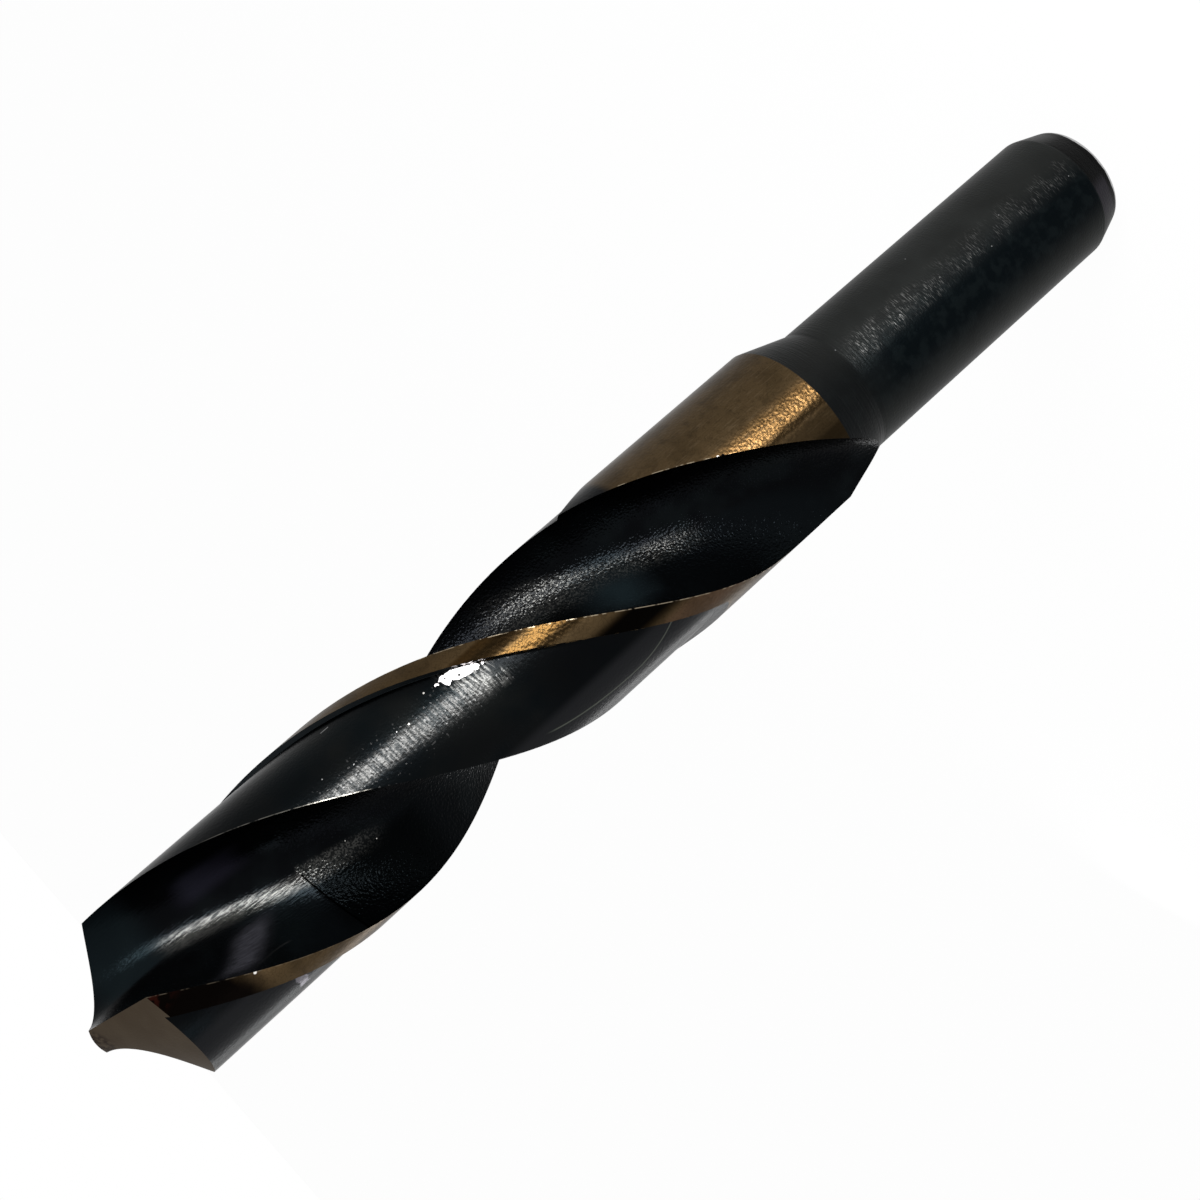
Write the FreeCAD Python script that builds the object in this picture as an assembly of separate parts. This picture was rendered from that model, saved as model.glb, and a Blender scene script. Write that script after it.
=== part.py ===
"""Reduced shank twist drill: one bar of high speed steel, turned, fluted and ground.

The drill stands on the flat end of its shank. Z runs up its axis to the point, and the origin is
the centre of the shank's end face. The lips lie along X when seen from above the point.
Lengths are in millimetres and angles in degrees.
"""
import FreeCAD, Part
import math
import os

# Turned blank
body_diameter = 15.875
shank_diameter = 12.7
corner_height = 111.3
shoulder_height = 38.8
neck_length = 5.0
neck_fillet = 1.5
end_chamfer_length = 3.0
end_chamfer_depth = 1.0

# Flutes
flute_count = 2
helix_angle = 30.0
land_angle = 86.6
web_thickness = 2.4
web_growth = 0.01

# Where the flutes run out onto the neck
runout_start = 52.0
runout_radius = 38.0
runout_lean = 68.0
runout_skew = 36.0

# Ground body clearance behind the margins
margin_width = 2.03
body_clearance = 0.41
clearance_start = 55.2
clearance_rise = 27.0
clearance_lean = 5.0

# Ground point
point_angle = 118.0
flank_cone_angle = 112.6
flank_cone_setback = 2.8
lip_relief_angle = 4.4

# How finely the helical cutters are shaped
section_turn = 9.0
profile_points = 9
overlap = 3.0

body_radius = body_diameter / 2
shank_radius = shank_diameter / 2
half_point = math.radians(point_angle / 2)
helix_slope = math.tan(math.radians(helix_angle))
turn_per_mm = helix_slope / body_radius
flute_angle = 2 * math.pi / flute_count - math.radians(land_angle)
point_height = body_radius / math.tan(half_point)
blank_top = corner_height + point_height

UP = FreeCAD.Vector(0, 0, 1)
FOOT = FreeCAD.Vector(0, 0, 0)


def polar(radius, angle, height=0.0):
    """A point given by its radius, its angle in radians and its height."""
    return FreeCAD.Vector(radius * math.cos(angle), radius * math.sin(angle), height)


def spaced(start, end, count):
    """Evenly spaced values from start to end, both ends included."""
    return [start + (end - start) * index / (count - 1) for index in range(count)]


def curve_through(points):
    """A smooth edge through the points."""
    curve = Part.BSplineCurve()
    curve.interpolate(Points=points, Parameters=spaced(0.0, 1.0, len(points)))
    return curve.toShape()


def arc_through(start, middle, end):
    return Part.Arc(start, middle, end).toShape()


def line(start, end):
    return Part.LineSegment(start, end).toShape()


def around(shape):
    """The shape repeated once for each flute."""
    copies = []
    for index in range(flute_count):
        copy = shape.copy()
        copy.rotate(FOOT, UP, 360.0 * index / flute_count)
        copies.append(copy)
    return copies


def half_web(height):
    """Half the thickness of the web, which grows slowly from the point to the shank."""
    return web_thickness / 2 + web_growth * (corner_height - height) / 2


def edge_angle(height):
    """Where a land's leading edge lies at a height, in radians."""
    corner = math.asin(half_web(corner_height) / body_radius)
    return corner + (height - corner_height) * turn_per_mm


def turned_blank():
    """The bar turned to its shank, neck cone and body, before fluting."""
    neck_foot = shoulder_height - neck_length
    outline = [
        FOOT,
        FreeCAD.Vector(shank_radius - end_chamfer_depth, 0, 0),
        FreeCAD.Vector(shank_radius, 0, end_chamfer_length),
        FreeCAD.Vector(shank_radius, 0, neck_foot),
        FreeCAD.Vector(body_radius, 0, shoulder_height),
        FreeCAD.Vector(body_radius, 0, blank_top),
        FreeCAD.Vector(0, 0, blank_top),
    ]
    profile = Part.makePolygon(outline + outline[:1])
    blank = Part.Face(profile).revolve(FOOT, UP, 360)
    neck_root = [
        edge for edge in blank.Edges
        if abs(edge.BoundBox.ZMin - neck_foot) < 1e-6
        and abs(edge.BoundBox.ZMax - neck_foot) < 1e-6
    ]
    return blank.makeFillet(neck_fillet, neck_root)


def rake_point(reach, web):
    """A point of the flute's front face as radius and angle behind or ahead of the leading edge.

    A lip point lies its reach out from the axis and half the web ahead of it. The helix carries
    the lip back from the height it is ground at, so that the ground lip comes out straight.
    """
    full_reach = math.sqrt(body_radius ** 2 - web ** 2)
    rise = (full_reach - reach) / math.tan(half_point)
    angle = math.atan2(web, reach) - math.asin(web / body_radius) - rise * turn_per_mm
    return math.hypot(reach, web), angle


def flute_profile(web):
    """The flute's front and back faces, from outside the body to the web and out again."""
    front = [polar(*rake_point(reach, web)) for reach in spaced(body_radius + overlap, 0.0, profile_points)]
    root_angle = rake_point(0.0, web)[1]
    heel = math.cos(flute_angle - root_angle) * body_radius
    radius = (body_radius ** 2 + web ** 2 - 2 * web * heel) / (2 * (heel - web))
    centre = polar(web + radius, root_angle)
    heel_side = polar(body_radius, flute_angle) - centre
    end = math.atan2(heel_side.y, heel_side.x) % (2 * math.pi)
    start = root_angle + math.pi
    if end > start:
        end -= 2 * math.pi
    sweep = (end - start) * 1.08
    back = [centre + polar(radius, start + sweep * share) for share in spaced(0.0, 1.0, profile_points)]
    return front, back


def runout_lift(height):
    """How far the cutter has risen out of the flute on its way down to a height."""
    along = max(0.0, runout_start - height) / math.cos(math.radians(helix_angle))
    return along ** 2 / (2 * runout_radius)


def placed(point, height):
    """A profile point carried to its height on the helix and through the flute's run-out.

    The cutter rises towards the middle of the flute. The flute's front edge draws in further
    than its back edge, because the cutter stands across the drill at the helix angle.
    """
    lift = runout_lift(height)
    moved = point + polar(lift, math.radians(runout_lean))
    angle = math.atan2(moved.y, moved.x)
    skew = math.radians(runout_skew) * lift / body_radius
    angle += skew * (1 - angle / flute_angle)
    return polar(math.hypot(moved.x, moved.y), angle + edge_angle(height), height)


def flute_section(height):
    """The outline of the flute cutter at a height."""
    front, back = flute_profile(half_web(height))
    front = [placed(point, height) for point in front]
    back = [placed(point, height) for point in back]
    outside = placed(polar(body_radius + 2 * overlap, flute_angle / 2), height)
    return Part.Wire([
        curve_through(front),
        curve_through(back),
        arc_through(back[-1], outside, front[0]),
    ])


def section_heights(bottom, top):
    """Heights that divide a helical cutter into equal small turns."""
    step = math.radians(section_turn) / turn_per_mm
    return spaced(bottom, top, max(3, math.ceil((top - bottom) / step) + 1))


def flute_cutter():
    bottom = shoulder_height - neck_length - overlap
    heights = section_heights(bottom, blank_top + overlap)
    return Part.makeLoft([flute_section(height) for height in heights], True, False)


def clearance_section(height):
    """The outline of the clearance cutter at a height, from the margin to past the heel."""
    start = edge_angle(height) - margin_width / body_radius
    end = edge_angle(height) - math.radians(land_angle) - flute_angle * 0.1
    middle = (start + end) / 2
    inner = body_radius - 2 * body_clearance
    outer = body_radius + overlap
    return Part.Wire([
        arc_through(*[polar(inner, angle, height) for angle in (start, middle, end)]),
        line(polar(inner, end, height), polar(outer, end, height)),
        arc_through(*[polar(outer, angle, height) for angle in (end, middle, start)]),
        line(polar(outer, start, height), polar(inner, start, height)),
    ])


def clearance_cutter():
    """The relief ground behind one margin, ending on a slanted plane above the shoulder."""
    heights = section_heights(clearance_start - overlap, blank_top + overlap)
    cutter = Part.makeLoft([clearance_section(height) for height in heights], True, False)
    core = Part.makeCylinder(body_radius - body_clearance, blank_top + 2 * overlap)
    size = body_diameter
    stop = Part.makeBox(size, 2 * size, 2 * size, FreeCAD.Vector(-size / 2, -size, -2 * size))
    stop.rotate(FOOT, FreeCAD.Vector(0, 1, 0), math.degrees(math.atan2(clearance_rise, body_radius)))
    stop.translate(FreeCAD.Vector(body_radius, 0, clearance_start))
    margin_angle = margin_width / body_radius
    stop_turn = math.degrees(edge_angle(clearance_start) - margin_angle) - clearance_lean
    stop.rotate(FOOT, UP, stop_turn)
    return cutter.cut(core).cut(stop)


def flank_cutter():
    """What the cone shaped grind behind one lip takes off the point."""
    web = half_web(corner_height)
    reach = math.sqrt(body_radius ** 2 - web ** 2)
    half_cone = math.radians(flank_cone_angle / 2)
    relief = math.radians(lip_relief_angle)
    apex = FreeCAD.Vector(
        -flank_cone_setback, web,
        corner_height + (reach + flank_cone_setback) / math.tan(half_point),
    )
    lip = FreeCAD.Vector(math.sin(half_point), 0, -math.cos(half_point))
    inward = FreeCAD.Vector(
        -math.cos(half_point) * math.cos(relief),
        math.sin(relief),
        -math.sin(half_point) * math.cos(relief),
    )
    axis = lip * math.cos(half_cone) + inward * math.sin(half_cone)
    length = 6 * body_radius
    cone = Part.makeCone(0, length * math.tan(half_cone), length, apex, axis)
    foot = FreeCAD.Vector(0, 0, corner_height - body_radius)
    tip = Part.makeCylinder(body_radius + overlap, body_radius + point_height + overlap, foot)
    return tip.cut(cone)


def build():
    body = turned_blank()
    body = body.cut(around(flute_cutter()))
    body = body.cut(around(clearance_cutter()))
    body = body.cut(around(flank_cutter()))
    return body.Solids[0]


os.makedirs("parts", exist_ok=True)
drill_bit = build()
drill_bit.exportStep("parts/drill_bit.step")
box = drill_bit.BoundBox
print("drill_bit", drill_bit.ShapeType, round(drill_bit.Volume, 1), "mm3", "valid", drill_bit.isValid())
print("box", round(box.XLength, 3), round(box.YLength, 3), round(box.ZLength, 3))
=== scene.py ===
import bpy
import math
import numpy as np
from mathutils import Matrix, Vector

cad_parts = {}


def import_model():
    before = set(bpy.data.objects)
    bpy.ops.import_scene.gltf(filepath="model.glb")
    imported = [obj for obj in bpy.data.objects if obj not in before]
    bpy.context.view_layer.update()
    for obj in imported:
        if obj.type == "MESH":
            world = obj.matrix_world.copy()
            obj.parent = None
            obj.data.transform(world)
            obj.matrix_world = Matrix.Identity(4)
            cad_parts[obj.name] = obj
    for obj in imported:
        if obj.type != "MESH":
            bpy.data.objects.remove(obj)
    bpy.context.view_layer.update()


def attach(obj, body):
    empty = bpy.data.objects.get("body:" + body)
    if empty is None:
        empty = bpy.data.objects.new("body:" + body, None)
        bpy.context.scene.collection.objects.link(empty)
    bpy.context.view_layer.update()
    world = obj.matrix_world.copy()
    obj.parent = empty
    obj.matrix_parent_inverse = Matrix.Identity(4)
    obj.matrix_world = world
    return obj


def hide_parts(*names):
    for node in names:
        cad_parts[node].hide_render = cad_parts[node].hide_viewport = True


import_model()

MM = 0.001

# The drill's own sizes, in millimetres and radians, as in its source
BODY_RADIUS = 15.875 / 2
SHANK_RADIUS = 12.7 / 2
CORNER_HEIGHT = 111.3
SHOULDER_HEIGHT = 38.8
NECK_LENGTH = 5.0
NECK_FILLET = 1.5
END_CHAMFER_LENGTH = 3.0
END_CHAMFER_DEPTH = 1.0
WEB_THICKNESS = 2.4
WEB_GROWTH = 0.01
HELIX_ANGLE = math.radians(30.0)
LAND_ANGLE = math.radians(86.6)
RUNOUT_START = 52.0
RUNOUT_RADIUS = 38.0
RUNOUT_LEAN = math.radians(68.0)
RUNOUT_SKEW = math.radians(36.0)
MARGIN_WIDTH = 2.03
BODY_CLEARANCE = 0.41
CLEARANCE_START = 55.2
CLEARANCE_RISE = 27.0
CLEARANCE_LEAN = math.radians(5.0)
HALF_POINT = math.radians(59.0)
HALF_FLANK_CONE = math.radians(56.3)
FLANK_CONE_SETBACK = 2.8
LIP_RELIEF = math.radians(4.4)

FLUTE_ANGLE = math.pi - LAND_ANGLE
LAND_WIDTH = LAND_ANGLE * BODY_RADIUS
TURN_PER_MM = math.tan(HELIX_ANGLE) / BODY_RADIUS
POINT_HEIGHT = BODY_RADIUS / math.tan(HALF_POINT)
BLANK_TOP = CORNER_HEIGHT + POINT_HEIGHT

# How far a cutter reaches past the metal
OVERLAP = 3.0


def half_web(height):
    return WEB_THICKNESS / 2 + WEB_GROWTH * (CORNER_HEIGHT - height) / 2


def edge_angle(height):
    """Where a land's leading edge lies at a height."""
    corner = math.asin(half_web(CORNER_HEIGHT) / BODY_RADIUS)
    return corner + (height - CORNER_HEIGHT) * TURN_PER_MM


# Shaping

def spaced(start, end, count):
    return [start + (end - start) * index / (count - 1) for index in range(count)]


def polar(radius, angle):
    return np.array([radius * math.cos(angle), radius * math.sin(angle)])


def only(item):
    bpy.ops.object.select_all(action="DESELECT")
    item.select_set(True)
    bpy.context.view_layer.objects.active = item


def swept_body(name, outline_at, heights):
    """A closed body whose outline changes with height: one circle, swept up and set ring by ring."""
    rings = [[(x, y, height) for x, y in outline_at(height)] for height in heights]
    bpy.ops.object.select_all(action="DESELECT")
    bpy.ops.mesh.primitive_circle_add(vertices=len(rings[0]), radius=BODY_RADIUS * MM)
    body = bpy.context.object
    body.name = name
    sweep = body.modifiers.new("Sweep", "SCREW")
    sweep.angle = 0.0
    sweep.screw_offset = heights[-1] * MM
    sweep.steps = sweep.render_steps = len(rings) - 1
    sweep.use_merge_vertices = False
    bpy.ops.object.modifier_apply(modifier="Sweep")
    body.data.vertices.foreach_set("co", np.array(rings).ravel() * MM)
    bpy.ops.object.mode_set(mode="EDIT")
    bpy.ops.mesh.select_all(action="SELECT")
    bpy.ops.mesh.fill_holes(sides=0)
    bpy.ops.mesh.select_all(action="SELECT")
    bpy.ops.mesh.normals_make_consistent(inside=False)
    bpy.ops.object.mode_set(mode="OBJECT")
    return body


def half_turned(cutter):
    """A copy of a cutter, turned half way round the drill."""
    only(cutter)
    bpy.ops.object.duplicate()
    copy = bpy.context.object
    copy.rotation_euler = (0.0, 0.0, math.pi)
    bpy.ops.object.transform_apply(location=True, rotation=True, scale=True)
    return copy


def machine(body, cutter):
    """Cuts the body, which takes the cutter's finish on the new faces."""
    cut = body.modifiers.new("Cut", "BOOLEAN")
    cut.solver = "MANIFOLD"
    cut.operation = "DIFFERENCE"
    if cutter.data.materials:
        cut.material_mode = "TRANSFER"
    cut.object = cutter
    only(body)
    bpy.ops.object.modifier_apply(modifier="Cut")
    only(cutter)
    bpy.ops.object.delete()


def blank_radii():
    """The turned outline from the shank's end to the top of the bar, as height and radius."""
    slope = math.atan2(BODY_RADIUS - SHANK_RADIUS, NECK_LENGTH)
    neck_foot = SHOULDER_HEIGHT - NECK_LENGTH
    fillet_start = neck_foot - NECK_FILLET * math.tan(slope / 2)
    end_radius = SHANK_RADIUS - END_CHAMFER_DEPTH
    chamfer_slope = END_CHAMFER_DEPTH / END_CHAMFER_LENGTH
    # Both edges of the chamfer are broken by a few hundredths
    points = [(0.0, end_radius - 0.08), (0.03, end_radius - 0.02), (0.1, end_radius + 0.025)]
    points += [(height, end_radius + height * chamfer_slope)
               for height in spaced(0.4, END_CHAMFER_LENGTH - 0.12, 5)]
    points += [(END_CHAMFER_LENGTH, SHANK_RADIUS - 0.012), (END_CHAMFER_LENGTH + 0.12, SHANK_RADIUS)]
    points += [(height, SHANK_RADIUS) for height in spaced(END_CHAMFER_LENGTH + 1.0, fillet_start, 28)]
    points += [(fillet_start + NECK_FILLET * math.sin(turn),
                SHANK_RADIUS + NECK_FILLET * (1 - math.cos(turn))) for turn in spaced(slope / 5, slope, 5)]
    points += [(height, SHANK_RADIUS + (height - neck_foot) * math.tan(slope))
               for height in spaced(neck_foot + 0.7, SHOULDER_HEIGHT, 6)]
    points += [(height, BODY_RADIUS) for height in spaced(SHOULDER_HEIGHT + 0.8, BLANK_TOP, 90)]
    return points


def turned_blank():
    radii = dict(blank_radii())

    def outline(height):
        return [polar(radii[height], math.radians(degree)) for degree in range(360)]

    return swept_body("drill", outline, list(radii))


def rake_point(reach, web):
    """A point of the flute's front face, which gives a straight lip once the point is ground."""
    full_reach = math.sqrt(BODY_RADIUS ** 2 - web ** 2)
    rise = (full_reach - reach) / math.tan(HALF_POINT)
    angle = math.atan2(web, reach) - math.asin(web / BODY_RADIUS) - rise * TURN_PER_MM
    return math.hypot(reach, web), angle


def run_out(point, height):
    """Carries a point along the helix, and out of the flute where the cutter lifted."""
    along = max(0.0, RUNOUT_START - height) / math.cos(HELIX_ANGLE)
    lift = along ** 2 / (2 * RUNOUT_RADIUS)
    moved = point + polar(lift, RUNOUT_LEAN)
    angle = math.atan2(moved[1], moved[0])
    angle += RUNOUT_SKEW * lift / BODY_RADIUS * (1 - angle / FLUTE_ANGLE)
    return polar(math.hypot(*moved), angle + edge_angle(height))


def flute_outline(height):
    """The flute's front face, root and back at a height, closed outside the body."""
    web = half_web(height)
    points = [polar(*rake_point(reach, web)) for reach in spaced(BODY_RADIUS + OVERLAP, 0.0, 44)]
    root_angle = rake_point(0.0, web)[1]
    heel = math.cos(FLUTE_ANGLE - root_angle) * BODY_RADIUS
    radius = (BODY_RADIUS ** 2 + web ** 2 - 2 * web * heel) / (2 * (heel - web))
    centre = polar(web + radius, root_angle)
    end = math.atan2(*(polar(BODY_RADIUS, FLUTE_ANGLE) - centre)[::-1]) % (2 * math.pi)
    start = root_angle + math.pi
    if end > start:
        end -= 2 * math.pi
    sweep = (end - start) * 1.08
    points += [centre + polar(radius, start + sweep * share) for share in spaced(0.0, 1.0, 44)[1:]]
    points += [polar(BODY_RADIUS + OVERLAP + 1.0, angle) for angle in spaced(FLUTE_ANGLE - 0.2, 0.1, 9)]
    return [run_out(point, height) for point in points]


def flute_cutter():
    bottom = SHOULDER_HEIGHT - NECK_LENGTH - OVERLAP
    return swept_body("flute", flute_outline, spaced(bottom, BLANK_TOP + OVERLAP, 150))


def clearance_outline(height):
    """The relief behind a margin at a height, from the margin to past the heel."""
    start = edge_angle(height) - MARGIN_WIDTH / BODY_RADIUS
    end = edge_angle(height) - LAND_ANGLE - FLUTE_ANGLE * 0.1
    inner = [polar(BODY_RADIUS - BODY_CLEARANCE, angle) for angle in spaced(start, end, 70)]
    outer = [polar(BODY_RADIUS + OVERLAP - 1.0, angle) for angle in spaced(end, start, 30)]
    return inner + outer


def clearance_cutter():
    """The relief behind one margin, with its lower end stopped on a slanted plane."""
    heights = spaced(CLEARANCE_START - OVERLAP, BLANK_TOP + OVERLAP, 90)
    cutter = swept_body("clearance", clearance_outline, heights)
    slant = edge_angle(CLEARANCE_START) - MARGIN_WIDTH / BODY_RADIUS - CLEARANCE_LEAN
    tilt = math.atan2(CLEARANCE_RISE, BODY_RADIUS)
    facing = Vector((math.sin(tilt) * math.cos(slant), math.sin(tilt) * math.sin(slant), math.cos(tilt)))
    place = Vector((BODY_RADIUS * math.cos(slant), BODY_RADIUS * math.sin(slant), CLEARANCE_START))
    size = 2 * BODY_RADIUS
    bpy.ops.object.select_all(action="DESELECT")
    bpy.ops.mesh.primitive_cube_add(
        size=1.0, location=(place - facing * size) * MM, rotation=(0.0, tilt, slant),
        scale=(size * MM, 2 * size * MM, 2 * size * MM))
    stop = bpy.context.object
    bpy.ops.object.transform_apply(location=True, rotation=True, scale=True)
    machine(cutter, stop)
    return cutter


def flank_cutter(side):
    """What the cone shaped grind takes off behind a lip: side 1 for the lip along +X, -1 for the other."""
    web = half_web(CORNER_HEIGHT)
    reach = math.sqrt(BODY_RADIUS ** 2 - web ** 2)
    apex_height = CORNER_HEIGHT + (reach + FLANK_CONE_SETBACK) / math.tan(HALF_POINT)
    apex = Vector((-FLANK_CONE_SETBACK * side, web * side, apex_height))
    lip = Vector((math.sin(HALF_POINT) * side, 0.0, -math.cos(HALF_POINT)))
    inward = Vector((
        -math.cos(HALF_POINT) * math.cos(LIP_RELIEF) * side,
        math.sin(LIP_RELIEF) * side,
        -math.sin(HALF_POINT) * math.cos(LIP_RELIEF),
    ))
    axis = lip * math.cos(HALF_FLANK_CONE) + inward * math.sin(HALF_FLANK_CONE)
    depth = 20.0
    bpy.ops.object.select_all(action="DESELECT")
    bpy.ops.mesh.primitive_cone_add(
        vertices=1440, radius1=depth * math.tan(HALF_FLANK_CONE) * MM, radius2=0.0, depth=depth * MM,
        location=(apex + axis * depth / 2) * MM, rotation=(-axis).to_track_quat("Z", "Y").to_euler())
    cone = bpy.context.object
    bpy.ops.object.transform_apply(location=True, rotation=True, scale=True)
    foot = CORNER_HEIGHT - 4.0
    top = BLANK_TOP + 2.0
    bpy.ops.object.select_all(action="DESELECT")
    bpy.ops.mesh.primitive_cylinder_add(
        vertices=64, radius=(BODY_RADIUS + 1.0) * MM, depth=(top - foot) * MM,
        location=(0.0, 0.0, (foot + top) / 2 * MM))
    cap = bpy.context.object
    bpy.ops.object.transform_apply(location=True, rotation=True, scale=True)
    machine(cap, cone)
    return cap


# Finishes

class Wire:
    """A node's output that takes part in expressions."""

    def __init__(self, tree, socket):
        self.tree = tree
        self.socket = socket

    def math(self, operation, *values):
        return self.tree.node("ShaderNodeMath", {"operation": operation}, dict(enumerate(values)))

    def __add__(self, other):
        return self.math("ADD", self, other)

    def __radd__(self, other):
        return self.math("ADD", other, self)

    def __sub__(self, other):
        return self.math("SUBTRACT", self, other)

    def __rsub__(self, other):
        return self.math("SUBTRACT", other, self)

    def __mul__(self, other):
        return self.math("MULTIPLY", self, other)

    def __rmul__(self, other):
        return self.math("MULTIPLY", other, self)

    def __truediv__(self, other):
        return self.math("DIVIDE", self, other)

    def __pow__(self, other):
        return self.math("POWER", self, other)

    def least(self, other):
        return self.math("MINIMUM", self, other)

    def most(self, other):
        return self.math("MAXIMUM", self, other)

    def ramp(self, low, high):
        """0 below low and 1 above high, with soft ends."""
        return self.tree.node("ShaderNodeMapRange", {"interpolation_type": "SMOOTHSTEP"},
                              {"Value": self, "From Min": low, "From Max": high})


class Tree:
    """The node tree of a material or a world, emptied and filled by expressions."""

    def __init__(self, owner):
        owner.use_nodes = True
        self.tree = owner.node_tree
        self.tree.nodes.clear()

    def node(self, kind, settings, values, output=0):
        item = self.tree.nodes.new(kind)
        for key, setting in settings.items():
            setattr(item, key, setting)
        for key, value in values.items():
            if isinstance(value, Wire):
                self.tree.links.new(value.socket, item.inputs[key])
            else:
                item.inputs[key].default_value = value
        return Wire(self, item.outputs[output]) if item.outputs else None

    def seen_ray(self):
        """1 for what is seen straight on, in a reflection or through glass, 0 for light on the object."""
        camera_ray, glossy_ray, transmission_ray = [
            self.node("ShaderNodeLightPath", {}, {}, kind)
            for kind in ("Is Camera Ray", "Is Glossy Ray", "Is Transmission Ray")]
        return camera_ray.most(glossy_ray).most(transmission_ray)


class Finish(Tree):
    """A material written as expressions on where a point lies on the drill, in millimetres."""

    def __init__(self, name):
        self.material = bpy.data.materials.new(name)
        super().__init__(self.material)
        place = self.node("ShaderNodeTexCoord", {}, {}, "Object")
        split = self.node("ShaderNodeSeparateXYZ", {}, {0: place}).socket.node
        self.x, self.y, self.z = [Wire(self, output) / MM for output in split.outputs]
        self.point = self.vector(self.x, self.y, self.z)
        self.radius = (self.x * self.x + self.y * self.y) ** 0.5
        self.turn = self.x.math("ARCTAN2", self.y, self.x)
        ahead = self.turn - (self.z - CORNER_HEIGHT) * TURN_PER_MM - edge_angle(CORNER_HEIGHT)
        # Distance behind the leading edge: on either land, and counted on from the first land's edge
        self.behind = ahead.math("WRAP", ahead * -1.0, math.radians(120.0), math.radians(-60.0)) * BODY_RADIUS
        self.from_first = ahead.math("WRAP", ahead * -1.0, 2 * math.pi + 0.1, 0.1) * BODY_RADIUS
        self.spun_x = self.radius * ahead.math("COSINE", ahead)
        self.spun_y = self.radius * ahead.math("SINE", ahead)

    def vector(self, x, y, z):
        return self.node("ShaderNodeCombineXYZ", {}, {0: x, 1: y, 2: z})

    def noise(self, scale, detail=2.0, vector=None):
        """Smooth noise about 0, at so many waves to a millimetre."""
        values = {"Vector": vector or self.point, "Scale": scale, "Detail": detail}
        return self.node("ShaderNodeTexNoise", {}, values, "Fac") - 0.5

    def rings(self, across, along, detail=2.0):
        """Noise drawn out round the drill, as turning and cylindrical grinding leave it."""
        return self.noise(1.0, detail, self.vector(self.turn * across, self.radius * along, self.z * along))

    def fibres(self, across, along):
        """Noise drawn out along the helix, as grinding the flutes leaves it."""
        return self.noise(1.0, 2.0, self.vector(self.spun_x * across, self.spun_y * across, self.z * along))

    def near(self, value, centre, half_width, soft):
        """1 within half a width of a centre, falling off over the soft distance."""
        gap = value - centre
        return 1.0 - gap.math("ABSOLUTE", gap).ramp(half_width, half_width + soft)

    def speck(self, place, size, inner=0.6):
        """1 within a round spot about a place on the surface, falling off past an inner share of it."""
        gap = self.node("ShaderNodeVectorMath", {"operation": "DISTANCE"}, {0: self.point, 1: place}, "Value")
        return 1.0 - gap.ramp(size * inner, size)

    def facing(self, azimuth, half_width, soft):
        """1 on the side of the drill at an azimuth, falling off over soft, all in degrees."""
        turn = self.turn.math("WRAP", self.turn - math.radians(azimuth), math.pi, -math.pi)
        return self.near(turn, 0.0, math.radians(half_width), math.radians(soft))

    def mix(self, factor, low, high):
        """A colour between two, each a colour, a wire or a grey level."""
        low, high = [grey(value) if isinstance(value, float) else value for value in (low, high)]
        settings = {"data_type": "RGBA", "clamp_factor": True}
        return self.node("ShaderNodeMix", settings, {0: factor, 6: low, 7: high}, 2)

    def marked(self, colour, size, places, mark):
        """The colour with small spots of a mark's colour at some places."""
        for place in places:
            colour = self.mix(self.speck(place, size), colour, mark)
        return colour

    def metal(self, colour, roughness, height, metallic=1.0):
        """The finished metal, with heights in millimetres. Less metallic is a dull film over it."""
        bump = self.node("ShaderNodeBump", {}, {"Height": height, "Strength": 1.0, "Distance": MM})
        shader = self.node("ShaderNodeBsdfPrincipled", {}, {
            "Base Color": colour, "Roughness": roughness, "Metallic": metallic, "Normal": bump,
            "Specular Tint": grey(0.68), "Specular IOR Level": 0.0,
        })
        self.node("ShaderNodeOutputMaterial", {}, {"Surface": shader})
        return self.material


def grey(level):
    return (level, level, level, 1.0)


BARE_STEEL = (0.62, 0.60, 0.56, 1.0)
BLACK = (0.0026, 0.0029, 0.0034, 1.0)
BLUE_BLACK = (0.0040, 0.0050, 0.0056, 1.0)
TEAL = (0.0042, 0.0068, 0.0080, 1.0)
# STRAW and MARGIN_STRAW are the colours of the painted highlight, on the plain band and on the margins
STRAW = (0.135, 0.076, 0.028, 1.0)
MARGIN_STRAW = (0.068, 0.037, 0.0115, 1.0)
BROWN = (0.062, 0.041, 0.020, 1.0)
COPPER = (0.070, 0.042, 0.024, 1.0)
UMBER = (0.010, 0.0065, 0.0030, 1.0)
RUST = (0.030, 0.006, 0.004, 1.0)


def painted_flute_highlights(finish, by_point, fibres):
    """Painted highlight: lighter streaks along the flutes' roots, laid where the light's reflection falls,
    which show the grain of the grinding.
    """
    spread = finish.z.ramp(60.0, 67.0)
    lower = finish.near(finish.y - (finish.z - 54.6) * 0.305 - spread * 0.2, -0.75, spread * 0.9 + 0.2, 1.2)
    lower = lower * finish.near(finish.z, 63.5, 7.5, 5.0) * 0.85
    drift = finish.z.ramp(98.0, 102.0) * 0.24 - by_point * 0.14 - 0.10
    upper = finish.near(finish.y - (finish.z - 99.3) * 0.24, drift, 0.44 - by_point * 0.30, 0.78)
    upper = upper * (1.5 - by_point * 0.5 + finish.z.ramp(101.0, 104.0) * 0.25)
    upper = upper * finish.z.ramp(88.0, 93.0) * (1.0 - finish.z.ramp(106.0, 109.0))
    grain = finish.noise(6.0, 1.0).ramp(-0.04, 0.11) * (1.0 - by_point)
    grain = grain + fibres.ramp(-0.14, 0.12) * by_point
    return (lower + upper) * finish.x.ramp(-4.0, -1.0) * (0.12 + by_point * 0.15 + grain * 0.8)


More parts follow.
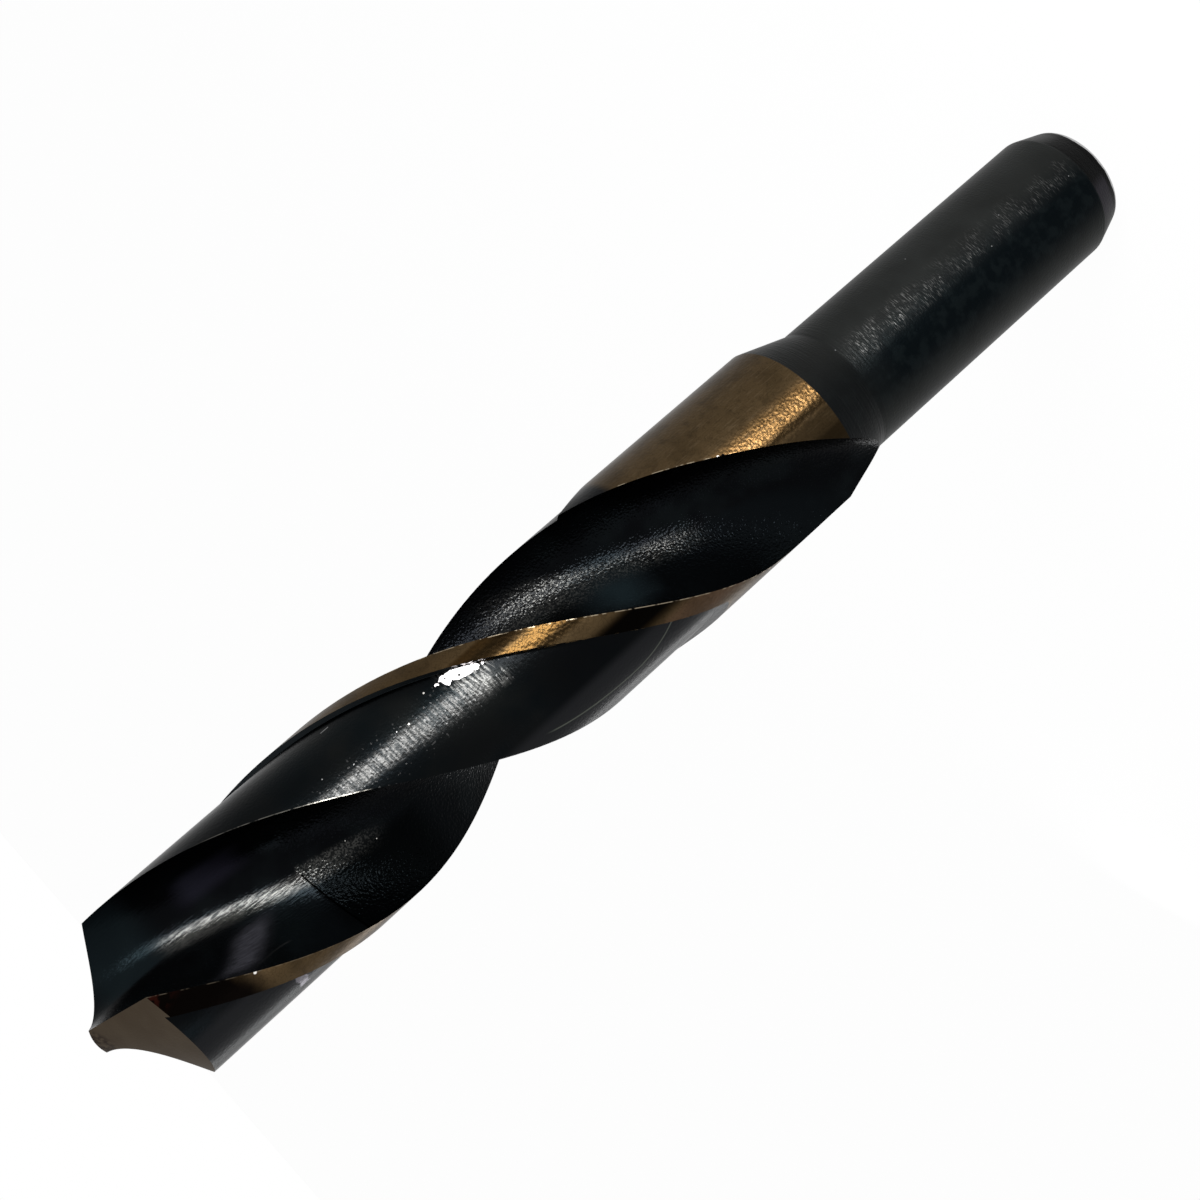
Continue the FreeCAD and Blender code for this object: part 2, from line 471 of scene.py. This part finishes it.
def front_film(finish, clouds):
    """A thin dull film on the flutes' front faces, thicker in three places."""
    film = finish.near(finish.behind, 0.0, 2.5, 2.5) * finish.radius.ramp(1.2, 2.2)
    film = film * (0.24 - finish.z.ramp(62.0, 75.0) * 0.12 + finish.near(finish.z, 99.0, 1.5, 2.5) * 0.2)
    film = film.most(finish.speck((2.9, -0.5, 62.0), 6.2, 0.0) * (0.55 + clouds * 0.9))
    by_corner = finish.near(finish.z, 110.5, 1.5, 3.0) * finish.near(finish.from_first, 35.0, 1.5, 2.0)
    return film.most(by_corner * 0.7)


def painted_reflection_smear(finish, clouds, fibres):
    """A pale painted reflection across one flute near the point."""
    smear = finish.near(finish.z - 101.9 - (finish.radius - 2.2) * 0.75 + clouds * 1.5, 0.75, 0.4, 2.2)
    smear = smear * finish.radius.ramp(1.6, 2.8) * (1.0 - finish.radius.ramp(5.5, 7.8) * 0.7)
    return smear * finish.from_first.ramp(46.0, 48.5) * (0.75 + fibres * 0.8)


def flute_oxide():
    """Black oxide over a gritty ground flute: coarse towards the neck, drawn into streaks by the point."""
    finish = Finish("flute_oxide")
    clouds = finish.noise(0.20, 3.0) + 0.5
    # The finer grinding by the point begins at a seam that lies a little lower further out
    past_seam = finish.z + (finish.radius - 1.6) * 0.15 - 96.3
    by_point = past_seam.ramp(-0.1, 0.3)
    grit = finish.noise(4.6, 1.0)
    fibres = finish.fibres(9.0, 1.2)
    height = grit * (0.066 - by_point * 0.056) + fibres * (0.003 + by_point * 0.013) + by_point * 0.02
    colour = finish.mix(clouds.ramp(0.46, 0.66), BLACK, BLUE_BLACK)
    # Painted highlight: lighter streaks along the flutes, where the light's reflection falls
    rubbed = painted_flute_highlights(finish, by_point, fibres)
    colour = finish.mix(rubbed, colour, (0.040, 0.040, 0.038, 1.0))
    # The front face is darkest below the seam
    dimmed = finish.near(finish.behind, 0.0, 2.0, 3.0) * finish.radius.ramp(1.7, 3.0)
    dimmed = dimmed * finish.near(finish.z, 91.0, 4.0, 3.0)
    colour = finish.mix(dimmed * (0.85 - by_point * 0.85), colour, 0.0005)
    colour = finish.marked(colour, 0.06, ((0.74, -2.49, 89.9), (1.20, -0.90, 92.0)), BARE_STEEL)
    film = front_film(finish, clouds)
    colour = finish.mix(film, colour, TEAL)
    # Painted reflection: a pale smear across one flute near the point
    smear = painted_reflection_smear(finish, clouds, fibres)
    colour = finish.mix(smear, colour, (0.0240, 0.0238, 0.0285, 1.0))
    shade = finish.near(finish.z, 101.6, 1.5, 2.5) * finish.near(finish.radius, 4.3, 0.5, 1.3)
    shade = shade * finish.near(finish.from_first, 34.5, 2.0, 1.0)
    colour = finish.mix(shade * 0.8, colour, (0.0065, 0.0062, 0.0100, 1.0))
    # A faint arc of painted reflection beside the smear
    rise = (finish.z - 100.6).most(0.0)
    arc = finish.near(finish.radius - rise * rise * 0.14, 5.4, 0.03, 0.08)
    arc = arc * finish.near(finish.z, 102.4, 1.5, 0.6) * finish.from_first.ramp(46.5, 48.0)
    colour = finish.mix(arc * 0.6, colour, 0.024)
    seam = finish.near(past_seam, 0.0, 0.05, 0.06) * finish.from_first.ramp(44.5, 46.0)
    colour = finish.mix(seam, colour, 0.0002)
    dull = film.most(smear).most(shade).most(0.20 - rubbed * 0.4)
    return finish.metal(colour, 0.13 + clouds * 0.05, height, 1.0 - dull * 0.85)


def painted_clearance_highlight(finish):
    """A grey streak on the clearance facing one side, narrowing towards the point: painted highlight where
    the light's reflection falls, over its grinding striations.
    """
    narrowed = (finish.z - 78.0).most(0.0)
    streak = finish.near(finish.turn, 0.280 + narrowed * 0.0094, 0.052, 0.16 - narrowed * 0.0066)
    return streak * finish.near(finish.z, 85.4, 8.0, 2.0)


def bare_chip(finish, behind_step, ragged):
    """A ragged patch behind the margin, chipped down to bright steel but for one speck."""
    across = behind_step + ragged * 1.3 - 0.45
    along = (finish.z - behind_step * 1.2 + ragged * 2.0 - 77.1) * 0.62
    chip = 1.0 - (across * across + along * along).ramp(0.55, 0.66)
    return chip * (1.0 - finish.speck((6.57, 3.67, 77.9), 0.16))


def rubbed_heel(finish):
    """Where the heel's edge is rubbed bright."""
    heel = (finish.behind + finish.z * 0.0013).ramp(LAND_WIDTH - 0.397, LAND_WIDTH - 0.347)
    heel = heel * finish.noise(1.4, 3.0).ramp(-0.16, 0.02)
    return heel * finish.near(finish.z, 91.3, 1.6, 0.8).most(finish.near(finish.z, 96.0, 3.0, 3.0) * 0.35)


def with_scratches(finish, colour):
    """The colour with a short scratch and a long fine curved line."""
    scratch = finish.near(finish.turn, 1.1639, 0.006, 0.004) * finish.near(finish.z, 88.05, 0.37, 0.04)
    colour = finish.mix(scratch * 0.7, colour, 0.22)
    above = finish.z - 66.0
    below = above.least(0.0)
    line = finish.near(finish.turn, above * above * 0.00272 + below * below * 0.0070 - 0.873, 0.006, 0.008)
    line = line * finish.near(finish.z, 67.5, 6.5, 1.5)
    return finish.mix(line * 0.6, colour, (0.10, 0.11, 0.09, 1.0))


def clearance_oxide():
    """Black oxide over cylindrical grinding, worn through in places behind the margin."""
    finish = Finish("clearance_oxide")
    clouds = finish.noise(0.20, 3.0) + 0.5
    rings = finish.rings(5.0, 4.4)
    scored = finish.rings(3.2, 4.6, 1.0)
    grit = finish.noise(3.8, 1.0)
    ragged = finish.noise(1.5, 3.0)
    # Distance behind the step of the second land's margin
    behind_step = finish.from_first - (math.pi * BODY_RADIUS + MARGIN_WIDTH)
    by_chip = finish.near(finish.z, 78.0, 3.0, 6.0) * finish.near(behind_step, 1.5, 2.0, 4.0)
    streak = painted_clearance_highlight(finish)
    chip = bare_chip(finish, behind_step, ragged)
    height = rings * (0.006 + by_chip * 0.018) + scored * streak * 0.030 + grit * (0.016 + streak * 0.014)
    colour = finish.mix(clouds.ramp(0.34, 0.62), (0.0042, 0.0058, 0.0066, 1.0), (0.0072, 0.0080, 0.0080, 1.0))
    darker = (finish.behind.ramp(5.0, 10.0) * 0.5).most(0.8 - finish.z.ramp(71.0, 78.0) * 0.8)
    darker = darker.most((1.0 - finish.behind.ramp(2.2, 4.4)) * 0.75)
    colour = finish.mix(darker, colour, BLACK)
    # Painted sheen: lighter on the side facing -43 degrees
    colour = finish.mix(finish.facing(-43.0, 9.0, 9.0) * 0.8, colour, (0.0150, 0.0155, 0.0170, 1.0))
    grain = (scored * 0.9 + finish.noise(5.5, 1.5) * 0.6).ramp(-0.12, 0.14)
    # Painted highlight: the grey streak where the light's reflection falls, grained by the grinding
    colour = finish.mix(streak * (0.20 + grain * 0.80), colour, (0.039, 0.039, 0.038, 1.0))
    # Painted glints: light dots on the side facing 20 degrees, in the highlight
    dots = finish.noise(4.0, 0.0).ramp(0.22, 0.26)
    dots = dots * finish.facing(20.0, 12.0, 6.0) * finish.near(finish.z, 84.0, 8.0, 3.0)
    colour = finish.mix(dots * 0.5, colour, 0.07)
    worn = finish.near(finish.z + ragged * 2.0, 77.2, 1.2, 1.4) * finish.near(behind_step, 1.4, 1.0, 1.4)
    worn = worn * rings.ramp(-0.06, 0.12) * finish.turn.ramp(0.07, 0.17)
    colour = finish.mix(worn * 0.5, colour, (0.11, 0.11, 0.105, 1.0))
    colour = finish.mix(rubbed_heel(finish) * 0.6, colour, (0.42, 0.40, 0.35, 1.0))
    # The step up to the margin carries a film, and shows gold where that is broken
    wall = 1.0 - (finish.behind - MARGIN_WIDTH).ramp(0.015, 0.045)
    step = wall * finish.noise(2.0, 2.0).ramp(-0.06, 0.04) * (1.0 - finish.z.ramp(76.0, 79.0))
    colour = finish.mix(step * 0.7, colour, (0.16, 0.105, 0.045, 1.0))
    colour = with_scratches(finish, colour)
    patch = finish.near(finish.z + ragged * 1.6, 101.7, 0.40, 0.15)
    patch = patch * finish.near(finish.from_first + ragged * 2.0, 3.35, 0.70, 0.2)
    colour = finish.mix(patch, colour, (0.115, 0.110, 0.125, 1.0))
    colour = finish.mix(chip, colour, (0.95, 0.92, 0.92, 1.0))
    colour = finish.marked(colour, 0.10, ((6.12, 4.38, 80.9), (6.72, 3.40, 83.5)), BARE_STEEL)
    colour = finish.marked(colour, 0.07, ((6.64, 3.55, 84.6), (6.03, 4.49, 91.2), (6.48, 3.81, 88.7)), 0.25)
    film = wall * (1.0 - step)
    colour = finish.mix(film, colour, (0.0058, 0.0070, 0.0078, 1.0))
    return finish.metal(colour, 0.25 + clouds * 0.06 + chip * 0.4, height * (1.0 - chip), 1.0 - film * 0.95)


def with_margin_bands(finish, colour, on_margin):
    """The colour with a painted brown band and a painted nearly black band of shade beside the painted
    highlight of each margin.
    """
    # Painted shade: a brown band on the side facing 30 degrees, fainter about 50 degrees
    brown_shade_band = (finish.facing(30.0, 5.0, 4.0) * 0.92).most(finish.facing(50.0, 15.0, 6.0) * 0.25)
    colour = finish.mix(brown_shade_band * on_margin, colour, (0.020, 0.0105, 0.0032, 1.0))
    # Painted shade: a nearly black band on the side facing 26.5 degrees
    dark = finish.facing(26.5, 2.5, 5.0) * on_margin
    return finish.mix(dark * 0.86, colour, (0.0030, 0.0019, 0.0009, 1.0))


def with_shade(finish, colour, on_margin):
    """The colour with painted shade on the stretches beside the painted highlight, and deeper painted shade
    where it is darkest.
    """
    shaded = finish.facing(8.5, 1.0, 4.0)
    shaded = shaded.most(finish.facing(-17.0, 7.0, 8.0) * (1.0 - finish.z.ramp(97.0, 100.0)))
    shaded = shaded.most(finish.facing(-6.0, 9.0, 5.0) * (0.6 - on_margin * 0.6))
    colour = finish.mix(shaded * 0.88, colour, UMBER)
    # Painted shade: deepest on the side facing -16 degrees, about 63 mm high
    deepest_painted_shade = finish.facing(-16.0, 5.0, 6.0) * finish.near(finish.z, 63.0, 4.0, 4.0)
    return finish.mix(deepest_painted_shade * 0.95, colour, 0.0006)


def with_dark_corners(finish, colour, clouds):
    """The colour nearly black behind the corners, with a red flush at the very edge."""
    # Darker behind the corners
    corner_darkening = (finish.z + clouds * 1.5 + finish.behind * 0.4).ramp(104.0, 107.4)
    colour = finish.mix(corner_darkening, colour, (0.0020, 0.0014, 0.0011, 1.0))
    flush = (finish.z - finish.behind * 1.2).ramp(108.7, 111.2) * finish.noise(1.8, 2.0).ramp(-0.08, 0.10)
    return finish.mix(flush * 0.6, colour, RUST)


def with_worn_edges(finish, colour):
    """The colour with a bare leading edge, a bare broken heel, and a ragged step behind the margin."""
    edge = 1.0 - finish.behind.ramp(0.05, 0.10)
    heel = finish.near(finish.behind, LAND_WIDTH - 0.027, 0.05, 0.04)
    edge = edge.most(heel) * finish.noise(1.4, 3.0).ramp(-0.05, 0.05)
    edge = edge * finish.z.ramp(45.0, 49.0) * (0.6 - finish.z.ramp(85.0, 100.0) * 0.48)
    colour = finish.mix(edge, colour, (0.42, 0.35, 0.25, 1.0))
    ragged = (finish.behind + finish.noise(1.1, 3.0) * 0.22).ramp(MARGIN_WIDTH - 0.03, MARGIN_WIDTH + 0.02)
    ragged = ragged * finish.z.ramp(57.0, 58.0) * (1.0 - finish.z.ramp(78.0, 82.0))
    return finish.mix(ragged, colour, BLACK)


def straw_gold():
    """The ground margins and the plain band above the shoulder, tempered to straw and crazed."""
    finish = Finish("straw_gold")
    clouds = finish.noise(0.45, 3.0) + 0.5
    craze = finish.noise(3.4, 0.5)
    worms = finish.near(craze, 0.0, 0.014, 0.034)
    on_margin = finish.z.ramp(54.0, 60.0)
    # Painted highlight: a bright straw along the side where the light's reflection falls
    bright = finish.facing(17.0, 3.0, 10.0) * (1.0 - on_margin) + finish.facing(14.5, 4.0, 7.0) * on_margin
    height = craze * (0.016 + bright * 0.030) + finish.rings(2.5, 3.0) * 0.006
    colour = finish.mix(bright, BROWN, finish.mix(on_margin, STRAW, MARGIN_STRAW))
    # Painted sheen: lighter copper on the side facing -42 degrees, fading out between 60 and 70 mm high
    copper_sheen = finish.facing(-42.0, 8.0, 8.0) * (1.0 - finish.z.ramp(60.0, 70.0))
    colour = finish.mix(copper_sheen, colour, COPPER)
    colour = with_margin_bands(finish, colour, on_margin)
    colour = finish.mix(worms * (0.30 + bright * 0.60), colour, UMBER)
    blotches = finish.noise(0.9, 3.0).ramp(0.05, 0.16)
    colour = finish.mix(blotches * 0.12 + clouds.ramp(0.42, 0.62) * 0.25, colour, UMBER)
    # Fine lines along the plain band, from sliding in and out of its slot
    along = finish.vector(finish.turn * 62.0, finish.radius, finish.z * 0.55)
    lines = finish.noise(1.0, 2.0, along).ramp(0.04, 0.18) * (1.0 - on_margin)
    colour = finish.mix(lines * 0.30, colour, (0.115, 0.082, 0.048, 1.0))
    colour = with_shade(finish, colour, on_margin)
    colour = with_dark_corners(finish, colour, clouds)
    colour = with_worn_edges(finish, colour)
    # A dark nick in the plain band's edge, and bare spots beside it and near a corner
    colour = finish.mix(finish.speck((7.30, 3.05, 49.0), 0.22), colour, 0.002)
    colour = finish.marked(colour, 0.16, ((7.23, 3.25, 49.4), (7.41, -2.82, 104.35)), BARE_STEEL)
    return finish.metal(colour, 0.26 + clouds * 0.10, height)


def with_chamfer(finish, colour):
    """The colour with the end chamfer dark but for painted sheen on its two sides, a black rim, and a bare
    edge.
    """
    chamfer = 1.0 - finish.z.ramp(2.75, 2.95)
    # Painted sheen: the chamfer lighter on the sides facing 72 and -26 degrees
    worn = finish.mix(finish.facing(72.0, 12.0, 16.0), 0.003, 0.036)
    worn = finish.mix(finish.facing(-26.0, 10.0, 14.0), worn, (0.022, 0.020, 0.025, 1.0))
    colour = finish.mix(chamfer * 0.9, colour, worn)
    rim = 1.0 - finish.z.ramp(0.7, 1.1)
    colour = finish.mix(rim * 0.95, colour, 0.0008)
    bare = 1.0 - (finish.z + finish.noise(0.6, 3.0) * 0.4).ramp(0.24, 0.32)
    return finish.mix(bare * 0.8, colour, 0.60)


def shank_oxide():
    """Black oxide over a turned shank and neck, with painted shade on one side and fine flecks of painted
    sheen along another.
    """
    finish = Finish("shank_oxide")
    clouds = finish.noise(0.22, 3.0) + 0.5
    neck = finish.z.ramp(29.0, 34.0)
    rings = finish.rings(1.2, 5.0)
    grit = finish.noise(4.6, 1.0)
    height = rings * (0.014 + neck * 0.030) + grit * 0.022
    colour = finish.mix(clouds.ramp(0.30, 0.70), (0.0175, 0.0185, 0.0178, 1.0), (0.0225, 0.0240, 0.0232, 1.0))
    shaded = finish.facing(-8.0, 8.0, 36.0) * (1.0 - neck * 0.25)
    mottle = finish.noise(0.8, 3.0).ramp(-0.06, 0.14)
    mottled = finish.mix(mottle, (0.0022, 0.0038, 0.0048, 1.0), (0.0046, 0.0070, 0.0080, 1.0))
    colour = finish.mix(shaded * 0.97, colour, mottled)
    # Painted shade: darker towards the neck
    colour = finish.mix(finish.z.ramp(32.5, 34.5) * 0.40, colour, 0.004)
    # Painted sheen: fine light flecks along the side facing 21 degrees
    flecks = finish.rings(9.0, 14.0, 1.0).ramp(0.05, 0.20) * finish.noise(0.5, 3.0).ramp(-0.14, 0.08)
    flecks = flecks * finish.facing(21.0, 4.0, 12.0) * finish.z.ramp(1.5, 5.0)
    flecks = flecks * (1.0 - finish.z.ramp(31.0, 34.0)) * (0.45 + finish.z.ramp(18.0, 30.0) * 0.45)
    colour = finish.mix(flecks, colour, (0.17, 0.17, 0.165, 1.0))
    colour = with_chamfer(finish, colour)
    colour = finish.marked(colour, 0.07, (
        (5.44, 3.27, 33.7), (6.04, 1.96, 26.9), (5.99, 2.12, 21.4), (5.71, 2.78, 12.5), (6.21, 1.32, 4.4),
        (6.24, 1.17, 15.4), (3.82, 5.07, 21.7)), 0.18)
    return finish.metal(colour, 0.36 + clouds * 0.08, height)


def ground_flank():
    """The ground point: dull brown grey, with rust by the chisel edge."""
    finish = Finish("ground_flank")
    clouds = finish.noise(0.5, 4.0) + 0.5
    lines = finish.noise(1.0, 2.0, finish.vector(finish.x * 0.8, finish.y * 6.0, finish.z * 6.0))
    colour = finish.mix(clouds.ramp(0.30, 0.70), (0.050, 0.036, 0.023, 1.0), (0.058, 0.043, 0.028, 1.0))
    rust = (1.0 - finish.radius.ramp(0.9, 1.8)) * finish.noise(2.2, 3.0).ramp(-0.12, 0.08)
    colour = finish.mix(rust * 0.85, colour, (0.016, 0.009, 0.006, 1.0))
    return finish.metal(colour, 0.50, lines * 0.012 + clouds * 0.02)


# The drill

def finish_body(body, material):
    body.data.materials.clear()
    body.data.materials.append(material)
    body.data.polygons.foreach_set("material_index", [0] * len(body.data.polygons))
    return body


def drill():
    body = finish_body(turned_blank(), straw_gold())
    flute = finish_body(flute_cutter(), flute_oxide())
    machine(body, half_turned(flute))
    machine(body, flute)
    clearance = finish_body(clearance_cutter(), clearance_oxide())
    machine(body, half_turned(clearance))
    machine(body, clearance)
    flank = ground_flank()
    for side in (1, -1):
        machine(body, finish_body(flank_cutter(side), flank))
    body.data.materials.append(shank_oxide())
    shank_slot = len(body.data.materials) - 1
    for face in body.data.polygons:
        if face.center.z < SHOULDER_HEIGHT * MM and face.material_index == 0:
            face.material_index = shank_slot
    only(body)
    bpy.ops.object.shade_smooth_by_angle(angle=math.radians(10.0))
    return body


# Stage and light

def floor():
    bpy.ops.object.select_all(action="DESELECT")
    bpy.ops.mesh.primitive_plane_add(size=4.0)
    sheet = bpy.context.object
    sheet.name = "floor"
    material = bpy.data.materials.new("pale_floor")
    tree = Tree(material)
    paper = tree.node("ShaderNodeBsdfDiffuse", {}, {"Color": grey(0.85)})
    white = tree.node("ShaderNodeEmission", {}, {"Color": grey(1.0)})
    mixed = tree.node("ShaderNodeMixShader", {}, {0: tree.seen_ray() * 0.97, 1: paper, 2: white})
    tree.node("ShaderNodeOutputMaterial", {}, {"Surface": mixed})
    sheet.data.materials.append(material)


def world():
    sky = bpy.data.worlds.new("studio")
    bpy.context.scene.world = sky
    tree = Tree(sky)
    strength = 0.5 + tree.seen_ray() * 0.5
    light = tree.node("ShaderNodeBackground", {}, {"Color": grey(1.0), "Strength": strength})
    tree.node("ShaderNodeOutputWorld", {}, {"Surface": light})


def strip_light(name, azimuths, heights, distance, width, radiance, colour=(1.0, 1.0, 1.0)):
    """A soft strip that faces the drill, with an azimuth and a height for its foot and for its head.

    Its power follows from how bright the strip itself looks.
    """
    ends = []
    for azimuth, height in zip(azimuths, heights):
        turn = math.radians(azimuth)
        ends.append(Vector((distance * math.cos(turn), distance * math.sin(turn), height)))
    foot, head = ends
    along = (head - foot).normalized()
    middle = (foot + head) / 2
    facing = Vector((middle.x, middle.y, 0.0)).normalized()
    facing = (facing - along * facing.dot(along)).normalized()
    length = (head - foot).length
    lamp = bpy.data.lights.new(name, "AREA")
    lamp.shape = "RECTANGLE"
    lamp.size = width * MM
    lamp.size_y = length * MM
    lamp.energy = radiance * width * length * MM * MM * math.pi
    lamp.color = colour
    holder = bpy.data.objects.new(name, lamp)
    bpy.context.scene.collection.objects.link(holder)
    holder.location = middle * MM
    holder.rotation_euler = Matrix((along.cross(facing), along, facing)).transposed().to_euler()
    holder.visible_camera = False


def camera():
    lens = bpy.data.cameras.new("camera")
    lens.sensor_width = 36.0
    lens.lens = 60.727
    lens.clip_start = 0.005
    holder = bpy.data.objects.new("camera", lens)
    bpy.context.scene.collection.objects.link(holder)
    holder.location = (0.157063, 0.022196, 0.119704)
    holder.rotation_euler = [math.radians(angle) for angle in (-61.50724, 44.77631, -60.97149)]
    bpy.context.scene.camera = holder


body = drill()
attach(body, "root")
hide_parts("drill_bit")
floor()
world()
strip_light("key_strip", (18.0, 54.0), (2.0, 150.0), 100.0, 18.0, 27.0)
strip_light("fill_strip", (-50.0, -60.0), (60.0, 150.0), 120.0, 16.0, 2.0, (0.93, 0.92, 1.0))
strip_light("low_strip", (-130.0, -124.0), (3.0, 150.0), 120.0, 14.0, 5.0)
camera()
bpy.context.scene.view_settings.view_transform = "Standard"
